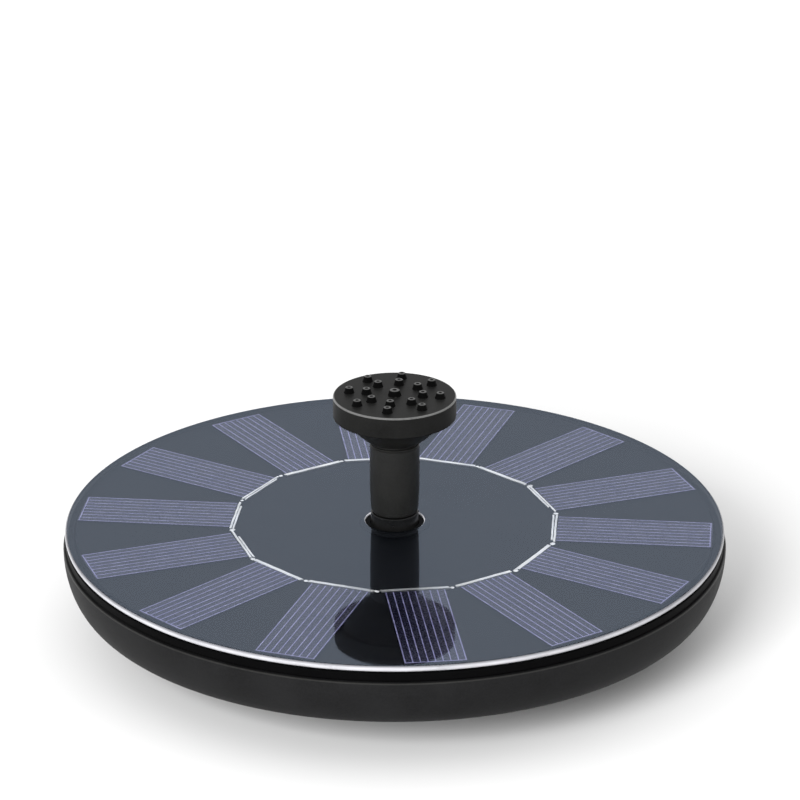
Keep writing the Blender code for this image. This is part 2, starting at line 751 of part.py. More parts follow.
def make_spray_funnel(parent, material):
    """The funnel that stands on the riser and opens into the chamber under the cap."""
    neck = RISER_TOP + REST
    foot = neck + 0.4 * mm
    plate = HEAD_RADIUS - HEAD_WALL - FIT
    mouth = HEAD_BOTTOM + 1.3 * mm
    reach = plate - 0.4 * mm - RISER_RADIUS
    flare = [
        (RISER_RADIUS + reach * t**0.8, foot + (HEAD_BOTTOM - foot) * t)
        for t in (0, 0.08, 0.25, 0.5, 0.75, 1)
    ]
    outline = [
        (3.0 * mm, neck - 5.2 * mm),
        (SPIGOT_RADIUS - FIT, neck - 5.2 * mm),
        (SPIGOT_RADIUS, neck - 4.9 * mm),
        (SPIGOT_RADIUS, neck),
        (RISER_RADIUS - 0.15 * mm, neck),
        *flare,
        (plate, HEAD_BOTTOM),
        (plate, mouth),
        (10.2 * mm, mouth),
        (3.0 * mm, neck + 1.4 * mm),
    ]
    turned("spray_funnel", outline, material, parent)


def make_spray_cap(parent, material):
    """The cap over the funnel: each jet is a short cone with a hole through it."""
    inner = HEAD_RADIUS - HEAD_WALL
    edge = 0.5 * mm
    shell = [
        (0, HEAD_TOP - HEAD_SKIN),
        (inner, HEAD_TOP - HEAD_SKIN),
        (inner, HEAD_BOTTOM),
        (HEAD_RADIUS - REST, HEAD_BOTTOM),
        (HEAD_RADIUS, HEAD_BOTTOM + REST),
        (HEAD_RADIUS, HEAD_TOP - edge),
        (HEAD_RADIUS - edge, HEAD_TOP),
        (0, HEAD_TOP),
    ]
    cap = turned("spray_cap", shell, material, parent, 36)
    jets, holes = bmesh.new(), bmesh.new()
    base, top = HEAD_TOP - HEAD_SKIN / 2, HEAD_TOP + JET_HEIGHT
    for radius, count in JET_RINGS:
        size = 1.0 if radius else 1.3
        foot, tip, bore = 1.2 * mm * size, 0.9 * mm * size, 0.4 * mm * size
        for angle in around(count, JET_START):
            centre = on_circle(radius, angle)
            turn(jets, [(0, base), (foot, base), (tip, top), (0, top)], 8, centre)
            peg(holes, bore, HEAD_TOP - HEAD_SKIN - 1 * mm, top + 1 * mm, centre, 6)
    join(cap, jets)
    cut(cap, holes)


def make_finishes():
    return {
        "clear": finish_of("clear_resin", (0.92, 0.95, 1.0), 0.04, alpha=0.2),
        "cell": finish_of("silicon_cell", (0.035, 0.04, 0.13), 0.3),
        "tin": finish_of("tinned_ribbon", (0.85, 0.86, 0.88), 0.3, 1.0),
        "board": finish_of("laminate_board", (0.012, 0.016, 0.018), 0.5),
        "silicone": finish_of("silicone_sealant", (0.75, 0.75, 0.73), 0.5),
        "gloss": finish_of("gloss_black_plastic", (0.006, 0.006, 0.006), 0.18),
        "matte": finish_of("matte_black_plastic", (0.022, 0.022, 0.022), 0.5),
        "nozzle": finish_of("satin_black_plastic", (0.02, 0.02, 0.02), 0.38),
        "rubber": finish_of("black_rubber", (0.015, 0.015, 0.015), 0.7),
        "steel": finish_of("electrical_steel", (0.55, 0.56, 0.58), 0.35, 1.0),
        "screw": finish_of("stainless_screw", (0.6, 0.6, 0.6), 0.3, 1.0),
        "copper": finish_of("enamelled_copper", (0.72, 0.3, 0.12), 0.3, 1.0),
        "ferrite": finish_of("ferrite", (0.04, 0.04, 0.045), 0.5),
        "nylon": finish_of("white_nylon", (0.8, 0.79, 0.74), 0.5),
        "ceramic": finish_of("ceramic", (0.85, 0.84, 0.8), 0.25),
        "epoxy": finish_of("chip_epoxy", (0.02, 0.02, 0.02), 0.55),
        "red": finish_of("red_insulation", (0.6, 0.02, 0.02), 0.45),
        "black": finish_of("black_insulation", (0.02, 0.02, 0.02), 0.45),
    }


def main():
    remove_everything()
    finishes = make_finishes()
    frame = empty_at("float_frame")
    rotor_axis = empty_at("rotor_axis", x=ROTOR_X)
    make_deck(frame, finishes)
    make_float_shell(frame, finishes["matte"])
    make_gasket(frame, finishes["rubber"])
    make_screws(frame, finishes["screw"])
    make_housing(frame, finishes["matte"])
    make_volute_cover(frame, finishes["matte"])
    make_outlet_pipe(frame, finishes["nozzle"])
    make_lead("panel_lead_red", 1, finishes["red"], frame)
    make_lead("panel_lead_black", -1, finishes["black"], frame)
    make_stator(rotor_axis, finishes)
    make_driver(rotor_axis, finishes)
    make_shaft(rotor_axis, finishes)
    make_impeller(rotor_axis, finishes)
    make_strainer(empty_at("strainer_axis"), finishes["matte"])
    make_riser(empty_at("riser_axis"), finishes["nozzle"])
    head_axis = empty_at("head_axis")
    make_spray_funnel(head_axis, finishes["nozzle"])
    make_spray_cap(head_axis, finishes["nozzle"])


main()
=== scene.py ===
"""Looks of the floating solar fountain pump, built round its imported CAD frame. Metres, +Z up."""

import math
import random

import bmesh
import bpy
from mathutils import Matrix, Vector


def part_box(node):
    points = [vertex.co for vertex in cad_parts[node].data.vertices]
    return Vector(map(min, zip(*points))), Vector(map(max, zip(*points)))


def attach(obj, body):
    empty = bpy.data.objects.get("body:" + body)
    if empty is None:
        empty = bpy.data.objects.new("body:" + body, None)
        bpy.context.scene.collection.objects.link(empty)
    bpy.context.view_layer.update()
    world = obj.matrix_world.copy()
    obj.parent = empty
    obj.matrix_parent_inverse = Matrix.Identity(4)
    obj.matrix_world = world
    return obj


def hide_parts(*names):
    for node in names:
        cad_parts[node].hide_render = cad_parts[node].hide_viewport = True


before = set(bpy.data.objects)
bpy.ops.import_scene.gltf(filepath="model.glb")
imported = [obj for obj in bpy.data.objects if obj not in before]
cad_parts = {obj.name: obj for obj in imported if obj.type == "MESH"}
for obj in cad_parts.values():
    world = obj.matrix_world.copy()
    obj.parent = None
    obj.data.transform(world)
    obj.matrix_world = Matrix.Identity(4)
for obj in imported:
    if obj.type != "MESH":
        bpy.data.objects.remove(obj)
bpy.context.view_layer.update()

mm = 0.001

# How finely round things are cut: the float, the nozzle and small features.
FINE, MIDDLE, SMALL = 192, 96, 32


# Where the frame puts things.

COVER_LOW, COVER_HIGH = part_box("panel_cover")
SHELL_LOW, SHELL_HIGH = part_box("float_shell")
TRAY_LOW, TRAY_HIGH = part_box("deck_tray")
CELL_LOW, CELL_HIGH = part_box("solar_cell_01")
PIPE_LOW, PIPE_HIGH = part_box("outlet_pipe")
RISER_LOW, RISER_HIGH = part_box("riser_tube")
FUNNEL_LOW, FUNNEL_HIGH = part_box("spray_funnel")
CAP_LOW, CAP_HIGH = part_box("spray_cap")
STRAINER_LOW, STRAINER_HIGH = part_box("strainer_cup")

DECK_TOP = COVER_HIGH.z

# The deck's sizes that the boxes don't give, as the CAD has them.
COVER_SKIN = 0.45 * mm
COVER_RECESS = 77.3 * mm
COVER_HOLE = 7.1 * mm
DECK_HOLE = 8.6 * mm
BAND_BORE = 77.3 * mm
TRAY_SPIGOT = 77.9 * mm
TRAY_BOTTOM = 23.4 * mm
TRAY_TOP = 24.45 * mm
CELL_COUNT = 14
CELL_WIDTH = 14.2 * mm
CELL_INNER = 39.3 * mm
CELL_OUTER = 76.6 * mm
STAR_TURN = math.radians(6.9)
LEAD_HOLE_X = 14.0 * mm
LEAD_HOLE_RADIUS = 2.6 * mm

# The float's and the strainer's.
SHELL_FLAT = 74.2 * mm
SHELL_OPENING = 32.5 * mm
WALL = 1.8 * mm
SCREW_CIRCLE = 36.4 * mm
SCREW_COUNT = 4
POST_RADIUS = 3.4 * mm
POST_BORE = 1.6 * mm
POST_TOP = 20.0 * mm
RIB_COUNT = 8
RIB_START = 42.0 * mm
RIB_THICKNESS = 1.4 * mm
STRAINER_WALL = 1.6 * mm
STRAINER_FLOOR = 1.8 * mm
SIDE_SLOTS = 24
FLOOR_SLOTS = 16

# The nozzle's.
WATERWAY = 3.2 * mm
OUTLET_FOOT_RADIUS = 4.7 * mm
OUTLET_STEP_RADIUS = 6.0 * mm
OUTLET_STEP_BOTTOM = 14.2 * mm
OUTLET_STEP_TOP = 15.4 * mm
OUTLET_NECK_RADIUS = 4.5 * mm
COLLAR_RADIUS = 5.75 * mm
COLLAR_BOTTOM = 21.2 * mm
COLLAR_TOP = 30.4 * mm
SPIGOT_RADIUS = 4.3 * mm
RISER_RADIUS = 5.95 * mm
HEAD_WAY = 3.0 * mm
HEAD_TOP = 60.5 * mm
HEAD_SKIN = 1.5 * mm
HEAD_WALL = 1.35 * mm
JET_RINGS = ((0.0, 1), (6.8 * mm, 8), (11.0 * mm, 8))
JET_START = math.radians(81)
JET_FOOT, JET_TIP, JET_BORE = 1.22 * mm, 0.92 * mm, 0.36 * mm
MIDDLE_JET = 1.3

# What only this script has: the printed lines, how the ribbon was laid, and the tint of the painted highlight
# on the cover's edges.
CELL_LINES = 9
LINE_WIDTH = 0.24 * mm
RIBBON_THICKNESS = 0.28 * mm
DOUBLED_SIDES = (0, 5, 6, 7, 13)
RIBBON_SEED = 7
EDGE_HIGHLIGHT_TINT = (1.0, 1.0, 1.06)

# The view and the lamp.
CAMERA_ELEVATION = math.radians(24.2)
CAMERA_DISTANCE = 0.86
CAMERA_LENS = 159.9
AIM_UP, AIM_ACROSS = 28.9 * mm, 1.3 * mm
KEY_AZIMUTH, KEY_ELEVATION = -24, 26
KEY_DISTANCE, KEY_SIZE, KEY_POWER = 1.4, 0.6, 31.0


# Meshes.


def arc(radius, start, end, steps, centre=(0.0, 0.0)):
    angles = [start + (end - start) * i / steps for i in range(steps + 1)]
    return [(centre[0] + radius * math.cos(a), centre[1] + radius * math.sin(a)) for a in angles]


def around(count, start=0.0):
    return [start + math.tau * i / count for i in range(count)]


def on_circle(radius, angle):
    return (radius * math.cos(angle), radius * math.sin(angle))


def rectangle(x0, x1, y0, y1):
    return [(x0, y0), (x1, y0), (x1, y1), (x0, y1)]


def rotated(outline, angle):
    turn_by = Matrix.Rotation(angle, 2)
    return [tuple(turn_by @ Vector(point)) for point in outline]


def rounded(corners, steps=4):
    """A closed outline from (x, y, radius) corners, each rounded by an arc. A radius of 0 keeps a corner."""
    outline = []
    for i, (x, y, radius) in enumerate(corners):
        here = Vector((x, y))
        if radius == 0:
            outline.append((x, y))
            continue
        back = Vector(corners[i - 1][:2]) - here
        ahead = Vector(corners[(i + 1) % len(corners)][:2]) - here
        half = back.angle(ahead) / 2
        reach = min(radius / math.tan(half), 0.49 * min(back.length, ahead.length))
        start, end = here + back.normalized() * reach, here + ahead.normalized() * reach
        middle = (back.normalized() + ahead.normalized()).normalized()
        centre = here + middle * (reach / math.cos(half))
        spoke = start - centre
        sweep = spoke.angle_signed(end - centre)
        for step in range(steps + 1):
            turned_spoke = Matrix.Rotation(-sweep * step / steps, 2) @ spoke
            outline.append(tuple(centre + turned_spoke))
    return outline


def turn(mesh, outline, segments, centre=(0.0, 0.0)):
    """Spins (radius, height) points round a vertical axis. Two ends that lie on the axis stay unjoined."""
    points = [mesh.verts.new((centre[0] + r, centre[1], z)) for r, z in outline]
    follow = points[1:] if outline[0][0] == outline[-1][0] == 0 else points[1:] + points[:1]
    edges = [mesh.edges.new(pair) for pair in zip(points, follow, strict=False)]
    bmesh.ops.spin(
        mesh,
        geom=points + edges,
        cent=(*centre, 0),
        axis=(0, 0, 1),
        angle=math.tau,
        steps=segments,
    )
    bmesh.ops.remove_doubles(mesh, verts=mesh.verts, dist=1e-6)


def extrude(mesh, outline, bottom, top):
    """Raises a flat outline from bottom to top."""
    face = mesh.faces.new([mesh.verts.new((x, y, bottom)) for x, y in outline])
    raised = bmesh.ops.extrude_face_region(mesh, geom=[face])["geom"]
    moved = [part for part in raised if isinstance(part, bmesh.types.BMVert)]
    bmesh.ops.translate(mesh, verts=moved, vec=(0, 0, top - bottom))


def peg(mesh, radius, bottom, top, centre=(0.0, 0.0), segments=SMALL):
    """One upright cylinder."""
    turn(mesh, [(0, bottom), (radius, bottom), (radius, top), (0, top)], segments, centre)


def add_piece(name, mesh, finishes):
    """An object from a bmesh, with those finishes."""
    bmesh.ops.recalc_face_normals(mesh, faces=mesh.faces)
    data = bpy.data.meshes.new(name)
    mesh.to_mesh(data)
    mesh.free()
    for finish in finishes:
        data.materials.append(finish)
    piece = bpy.data.objects.new(name, data)
    bpy.context.scene.collection.objects.link(piece)
    return piece


def combine(piece, mesh, operation):
    """A Boolean on the piece, applied at once."""
    other = add_piece(piece.name + "_tool", mesh, [])
    step = piece.modifiers.new("Boolean", "BOOLEAN")
    step.operation = operation
    step.solver = "EXACT"
    step.object = other
    bpy.context.view_layer.update()
    graph = bpy.context.evaluated_depsgraph_get()
    made = bpy.data.meshes.new_from_object(piece.evaluated_get(graph))
    old, tool = piece.data, other.data
    piece.modifiers.clear()
    piece.data = made
    made.name = piece.name
    bpy.data.objects.remove(other)
    bpy.data.meshes.remove(old)
    bpy.data.meshes.remove(tool)


def place(piece, body, nodes=(), sharp=32):
    """Shades the piece, gives it its body and hides the CAD nodes that it stands for."""
    piece.data.shade_smooth()
    piece.data.set_sharp_from_angle(angle=math.radians(sharp))
    weighted = piece.modifiers.new("Even shading", "WEIGHTED_NORMAL")
    weighted.keep_sharp = True
    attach(piece, body)
    if nodes:
        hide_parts(*nodes)
    return piece


def turned(name, outline, finishes, segments=MIDDLE):
    mesh = bmesh.new()
    turn(mesh, outline, segments)
    return add_piece(name, mesh, finishes)


# Materials.


def node(tree, kind, inputs=None, **settings):
    """A node with those settings. An input is a value, or another node's output to link."""
    made = tree.nodes.new(kind)
    for key, value in settings.items():
        setattr(made, key, value)
    for key, value in (inputs or {}).items():
        if isinstance(value, bpy.types.NodeSocket):
            tree.links.new(value, made.inputs[key])
        else:
            made.inputs[key].default_value = value
    return made


def new_finish(name):
    """An empty material: its tree and its output's surface socket."""
    finish = bpy.data.materials.new(name)
    finish.use_nodes = True
    tree = finish.node_tree
    tree.nodes.clear()
    return finish, tree, node(tree, "ShaderNodeOutputMaterial").inputs["Surface"]


def noise(tree, scale, detail=3.0, roughness=0.55, stretch=None):
    """Noise over the object's own coordinates, which are metres. Scale is in features a metre."""
    place_on = node(tree, "ShaderNodeTexCoord").outputs["Object"]
    if stretch:
        place_on = node(tree, "ShaderNodeMapping", {"Vector": place_on, "Scale": stretch}).outputs[0]
    inputs = {"Vector": place_on, "Scale": scale, "Detail": detail, "Roughness": roughness}
    return node(tree, "ShaderNodeTexNoise", inputs).outputs["Fac"]


def between(tree, value, low, high, start=0.35, end=0.65):
    """The value's stretch from start to end, spread from low to high."""
    inputs = {"Value": value, "From Min": start, "From Max": end, "To Min": low, "To Max": high}
    return node(tree, "ShaderNodeMapRange", inputs).outputs["Result"]


def blend(tree, factor, first, second):
    """A mix of two colours."""
    made = node(tree, "ShaderNodeMix", data_type="RGBA")
    for socket, value in ((made.inputs[0], factor), (made.inputs[6], first), (made.inputs[7], second)):
        if isinstance(value, bpy.types.NodeSocket):
            tree.links.new(value, socket)
        else:
            socket.default_value = value
    return made.outputs[2]


def maths(tree, operation, first, second=0.0):
    return node(tree, "ShaderNodeMath", {0: first, 1: second}, operation=operation).outputs[0]


def bump(tree, height, strength, distance, under=None):
    inputs = {"Height": height, "Strength": strength, "Distance": distance}
    if under:
        inputs["Normal"] = under
    return node(tree, "ShaderNodeBump", inputs).outputs["Normal"]


def shade(colour, share):
    return (*[min(channel * share, 1.0) for channel in colour], 1.0)


def moulded(name, colour, roughness, specular=0.5, grain=0.25, mottle=0.25, scuffs=0.5):
    """Moulded plastic: cloudy colour, a fine eroded grain and a few scuffs that shine differently."""
    finish, tree, surface = new_finish(name)
    clouds = noise(tree, 90, 4)
    speckle = noise(tree, 2200, 2)
    scuff = noise(tree, 140, 6, 0.7, stretch=(1, 1, 5))
    tint = blend(tree, between(tree, clouds, 0, 1), shade(colour, 1 - mottle), shade(colour, 1 + mottle))
    tint = blend(tree, between(tree, speckle, 0, 0.35), tint, shade(colour, 1.9))
    dulling = between(tree, scuff, 0, 0.08 * scuffs, 0.55, 0.7)
    gloss = maths(tree, "ADD", between(tree, clouds, -0.03, 0.03), dulling)
    rough = maths(tree, "ADD", gloss, roughness)
    waves = bump(tree, noise(tree, 45, 2), 0.25, 0.12 * mm)
    bumps = bump(tree, speckle, grain, 0.06 * mm, waves)
    inputs = {"Base Color": tint, "Roughness": rough, "Normal": bumps, "Specular IOR Level": specular}
    shader = node(tree, "ShaderNodeBsdfPrincipled", inputs)
    tree.links.new(shader.outputs[0], surface)
    return finish


def metal(name, colour, roughness, grain=400, stretch=(1, 1, 1), strength=0.2):
    """Bare metal with drawn or cast marks and dull patches."""
    finish, tree, surface = new_finish(name)
    marks = noise(tree, grain, 5, 0.65, stretch)
    patches = noise(tree, 160, 4)
    tint = blend(tree, between(tree, patches, 0, 1), shade(colour, 0.78), shade(colour, 1.08))
    inputs = {
        "Base Color": tint,
        "Metallic": 1.0,
        "Roughness": between(tree, marks, roughness - 0.08, roughness + 0.14, 0.3, 0.7),
        "Normal": bump(tree, marks, strength, 0.05 * mm),
    }
    shader = node(tree, "ShaderNodeBsdfPrincipled", inputs)
    tree.links.new(shader.outputs[0], surface)
    return finish


def clear_top():
    """The cover's polished face: a little wavy, it mirrors more at low angles and lets the rest through."""
    finish, tree, surface = new_finish("clear_resin_face")
    ripple = bump(tree, noise(tree, 70, 2), 0.12, 0.1 * mm)
    haze = noise(tree, 900, 5, 0.7)
    facing = node(tree, "ShaderNodeLayerWeight", {"Blend": 0.5, "Normal": ripple}).outputs["Facing"]
    mirror = maths(tree, "POWER", facing, 3.0)
    mirror = maths(tree, "ADD", maths(tree, "MULTIPLY", mirror, 0.4), 0.045)
    inputs = {"Color": (0.68, 0.80, 1.0, 1.0), "Roughness": between(tree, haze, 0.02, 0.05), "Normal": ripple}
    gloss = node(tree, "ShaderNodeBsdfAnisotropic", inputs).outputs[0]
    clear = node(tree, "ShaderNodeBsdfTransparent", {"Color": (0.97, 0.98, 1.0, 1.0)}).outputs[0]
    mixed = node(tree, "ShaderNodeMixShader", {0: mirror, 1: clear, 2: gloss}).outputs[0]
    tree.links.new(mixed, surface)
    return finish


def clear_under():
    """The cover's underside, bonded down: nothing shines there."""
    finish, tree, surface = new_finish("clear_resin_bond")
    shades = between(tree, noise(tree, 300, 3), 0.0, 1.0)
    tint = blend(tree, shades, (0.96, 0.97, 1.0, 1.0), (1.0, 1.0, 1.0, 1.0))
    clear = node(tree, "ShaderNodeBsdfTransparent", {"Color": tint}).outputs[0]
    tree.links.new(clear, surface)
    return finish


def edge_resin(name, highlight_tone, clear_from):
    """The cover's edges: a whitish painted highlight from the side, clear above that slope, and dark when
    seen from inside.
    """
    finish, tree, surface = new_finish(name)
    flow = noise(tree, 120, 4, 0.6, stretch=(1, 1, 6))
    geometry = node(tree, "ShaderNodeNewGeometry")
    inside = geometry.outputs["Backfacing"]
    upward = node(tree, "ShaderNodeSeparateXYZ", {0: geometry.outputs["Normal"]}).outputs["Z"]
    # The whitish tint is a painted highlight, lighter or darker at random along the flow.
    thin, thick = shade(EDGE_HIGHLIGHT_TINT, 0.87 * highlight_tone), shade(EDGE_HIGHLIGHT_TINT, 1.13 * highlight_tone)
    tint = blend(tree, between(tree, flow, 0, 1), thin, thick)
    tint = blend(tree, between(tree, upward, 0, 1, clear_from, 0.95), tint, (0.05, 0.05, 0.06, 1.0))
    inputs = {
        "Base Color": blend(tree, inside, tint, (0.004, 0.0045, 0.006, 1.0)),
        "Metallic": between(tree, inside, 0.25, 0.9, 0, 1),
        "Roughness": between(tree, flow, 0.25, 0.36),
        "Normal": bump(tree, flow, 0.1, 0.05 * mm),
    }
    shader = node(tree, "ShaderNodeBsdfPrincipled", inputs)
    tree.links.new(shader.outputs[0], surface)
    return finish


def silicon():
    """A dark blue cell: its coating mirrors little, and tints what it mirrors violet."""
    finish, tree, surface = new_finish("silicon_cell")
    patches = noise(tree, 60, 3, 0.5)
    crystals = noise(tree, 1800, 2)
    dark, light = (0.010, 0.010, 0.032, 1.0), (0.016, 0.015, 0.045, 1.0)
    tint = blend(tree, between(tree, patches, 0, 1), dark, light)
    tint = blend(tree, between(tree, crystals, 0, 0.25), tint, (0.012, 0.014, 0.05, 1.0))
    inputs = {
        "Base Color": tint,
        "Metallic": 0.85,
        "Roughness": between(tree, crystals, 0.24, 0.3),
        "Normal": bump(tree, crystals, 0.04, 0.01 * mm),
    }
    shader = node(tree, "ShaderNodeBsdfPrincipled", inputs)
    tree.links.new(shader.outputs[0], surface)
    return finish


def silver_print():
    """The screen-printed silver lines on the cells, patchy where the paste is thin."""
    finish, tree, surface = new_finish("silver_print")
    patches = noise(tree, 500, 4, 0.7)
    tint = blend(tree, between(tree, patches, 0, 1), (0.16, 0.15, 0.30, 1.0), (0.32, 0.31, 0.50, 1.0))
    inputs = {
        "Base Color": tint,
        "Metallic": 0.7,
        "Roughness": between(tree, patches, 0.4, 0.6),
        "Normal": bump(tree, noise(tree, 3000, 3), 0.3, 0.03 * mm),
    }
    shader = node(tree, "ShaderNodeBsdfPrincipled", inputs)
    tree.links.new(shader.outputs[0], surface)
    return finish


def laminate():
    """Black glass-fibre laminate, with its weave faint under the lacquer."""
    finish, tree, surface = new_finish("laminate_board")
    where = node(tree, "ShaderNodeTexCoord").outputs["Object"]
    threads = [
        node(
            tree,
            "ShaderNodeTexWave",
            {"Vector": where, "Scale": 700.0, "Distortion": 1.0},
            bands_direction=direction,
        ).outputs["Fac"]
        for direction in ("X", "Y")
    ]
    weave = maths(tree, "MULTIPLY", *threads)
    clouds = noise(tree, 60, 4)
    dark, light = (0.001, 0.0012, 0.0018, 1.0), (0.002, 0.0022, 0.003, 1.0)
    tint = blend(tree, between(tree, clouds, 0, 1), dark, light)
    tint = blend(tree, between(tree, weave, 0, 0.3, 0, 1), tint, (0.0026, 0.003, 0.004, 1.0))
    inputs = {
        "Base Color": tint,
        "Roughness": between(tree, clouds, 0.5, 0.6),
        "Specular IOR Level": 0.03,
        "Normal": bump(tree, weave, 0.05, 0.01 * mm),
    }
    shader = node(tree, "ShaderNodeBsdfPrincipled", inputs)
    tree.links.new(shader.outputs[0], surface)
    return finish


def winding():
    """Enamelled wire: turns stacked up the coil, with a painted highlight at each crown and painted shade
    between turns.
    """
    finish, tree, surface = new_finish("enamelled_copper")
    where = node(tree, "ShaderNodeTexCoord").outputs["Object"]
    turns = node(
        tree,
        "ShaderNodeTexWave",
        {"Vector": where, "Scale": 1200.0, "Distortion": 0.4},
        bands_direction="Z",
    ).outputs["Fac"]
    inputs = {
        # The light and dark bands are painted highlight and painted shade on the turns.
        "Base Color": blend(tree, turns, (0.35, 0.10, 0.03, 1.0), (0.80, 0.36, 0.15, 1.0)),
        "Metallic": 1.0,
        "Roughness": between(tree, noise(tree, 500), 0.25, 0.4),
        "Normal": bump(tree, turns, 0.7, 0.1 * mm),
    }
    shader = node(tree, "ShaderNodeBsdfPrincipled", inputs)
    tree.links.new(shader.outputs[0], surface)
    return finish


FINISHES = {
    "clear_top": clear_top(),
    "clear_under": clear_under(),
    # The lip's whitish tint is a painted highlight, and so is the opening's below.
    "lip": edge_resin("lip_painted_highlight", 0.39, 0.35),
    "cell": silicon(),
    "print": silver_print(),
    "tin": metal("tinned_ribbon", (0.93, 0.93, 0.90), 0.38, 900, (1, 1, 1), 0.5),
    "board": laminate(),
    "silicone": moulded("silicone_sealant", (0.72, 0.72, 0.70), 0.45, grain=0.05),
    "gloss": moulded("gloss_black_plastic", (0.001, 0.001, 0.0011), 0.45, 0.02, 0.03, 0.2, 1.0),
    "matte": moulded("matte_black_plastic", (0.006, 0.006, 0.0063), 0.55, 0.09, 0.45, 0.3, 0.4),
    "nozzle": moulded("satin_black_plastic", (0.009, 0.009, 0.0085), 0.38, 0.22, 0.15, 0.25, 0.6),
    "head": moulded("head_black_plastic", (0.0062, 0.0062, 0.006), 0.45, 0.07, 0.15, 0.25, 0.6),
    # The hole's rounded edge gets a brighter painted highlight.
    "opening": edge_resin("opening_edge_painted_highlight", 0.75, 0.85),
    # The next three are the same black plastic: a painted highlight on the jet tops and on the cap's rim, and
    # painted shade on the jet sides.
    "tip": moulded("jet_tip_painted_highlight", (0.018, 0.018, 0.0175), 0.3, 0.5, 0.02, 0.2, 0.3),
    "edge": moulded("head_rim_painted_highlight", (0.06, 0.06, 0.059), 0.3, 0.6, 0.02, 0.2, 0.3),
    "jet": moulded("jet_side_painted_shade", (0.001, 0.001, 0.001), 0.5, 0.03, 0.1, 0.2),
    "collar": moulded("wet_black_plastic", (0.004, 0.004, 0.004), 0.3, 0.3, 0.05, 0.2),
    "rubber": moulded("black_rubber", (0.003, 0.0032, 0.0036), 0.75, 0.04, 0.3),
    "steel": metal("electrical_steel", (0.55, 0.56, 0.58), 0.36, 600, (1, 6, 1)),
    "screw": metal("stainless_screw", (0.62, 0.62, 0.61), 0.28, 1500),
    "copper": winding(),
    "ferrite": moulded("ferrite", (0.045, 0.045, 0.05), 0.5, 0.5, 0.6, 0.3),
    "nylon": moulded("white_nylon", (0.78, 0.77, 0.72), 0.5, grain=0.1, mottle=0.06),
    "ceramic": moulded("ceramic", (0.82, 0.81, 0.77), 0.3, grain=0.08, mottle=0.05),
    "epoxy": moulded("chip_epoxy", (0.02, 0.02, 0.021), 0.6, grain=0.5),
    "red": moulded("red_insulation", (0.55, 0.015, 0.015), 0.42, grain=0.05, mottle=0.1),
    "black": moulded("black_insulation", (0.02, 0.02, 0.02), 0.42, grain=0.05),
}


def dress_nodes(names, finish):
    """Gives CAD nodes that stay a finish of this script."""
    for name in names:
        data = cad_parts[name].data
        data.materials.clear()
        data.materials.append(FINISHES[finish])


# The deck.


def finish_slots(*keys):
    """The finishes of one piece, and the material index of each."""
    return [FINISHES[key] for key in keys], {key: i for i, key in enumerate(keys)}


def from_axis(face):
    return math.hypot(face.center.x, face.center.y)


def make_cover():
    """The clear cover: a polished skin over the cells, and a thick rim whose lip carries a painted highlight.
    """
    half = (COVER_HIGH.z - COVER_LOW.z) / 2
    middle = COVER_LOW.z + half
    rim = arc(half, -math.pi / 2, math.pi / 2, 14, (COVER_HIGH.x - half, middle))
    edge = COVER_SKIN * 0.9
    round_hole = arc(edge, math.pi / 2, math.pi, 6, (COVER_HOLE + edge, COVER_HIGH.z - edge))
    under = COVER_HIGH.z - COVER_SKIN
    recess = [(COVER_HOLE, under), (COVER_RECESS, under), (COVER_RECESS, COVER_LOW.z)]
    outline = [*recess, *rim, *round_hole]
    finishes, index = finish_slots("clear_top", "clear_under", "lip", "opening")
    piece = turned("deck_cover", outline, finishes, FINE)
    for face in piece.data.polygons:
        # The lip's faces take the painted highlight.
        if from_axis(face) > COVER_HIGH.x - half and face.normal.z < 0.88:
            face.material_index = index["lip"]
        # The hole's rounded edge takes the painted highlight.
        elif from_axis(face) < COVER_HOLE + edge and -0.5 < face.normal.z < 0.85:
            face.material_index = index["opening"]
        elif face.normal.z < 0.3:
            face.material_index = index["clear_under"]
    place(piece, "float", ["panel_cover"])


def comb(start, end, half_width, count, line):
    """The plan of one cell's printed lines: fingers that a cross line joins at the outer end."""
    pitch = 2 * half_width / (count - 1)
    outline = [(end, -half_width - line / 2), (end, half_width + line / 2)]
    for i in range(count):
        y = half_width - pitch * i
        bar = end - line
        outline += [(bar, y + line / 2), (start, y + line / 2), (start, y - line / 2), (bar, y - line / 2)]
    return outline


def make_cells():
    """The CAD cells get their finish, and printed silver lines stand a little proud of them."""
    dress_nodes([f"solar_cell_{i + 1:02d}" for i in range(CELL_COUNT)], "cell")
    mesh = bmesh.new()
    inner, outer, half_width = CELL_INNER + 0.1 * mm, CELL_OUTER - 0.3 * mm, CELL_WIDTH / 2 - 0.25 * mm
    plan = comb(inner, outer, half_width, CELL_LINES, LINE_WIDTH)
    for angle in around(CELL_COUNT, STAR_TURN + math.pi / CELL_COUNT):
        extrude(mesh, rotated(plan, angle), CELL_HIGH.z + 0.01 * mm, CELL_HIGH.z + 0.04 * mm)
    place(add_piece("cell_fingers", mesh, [FINISHES["print"]]), "float")


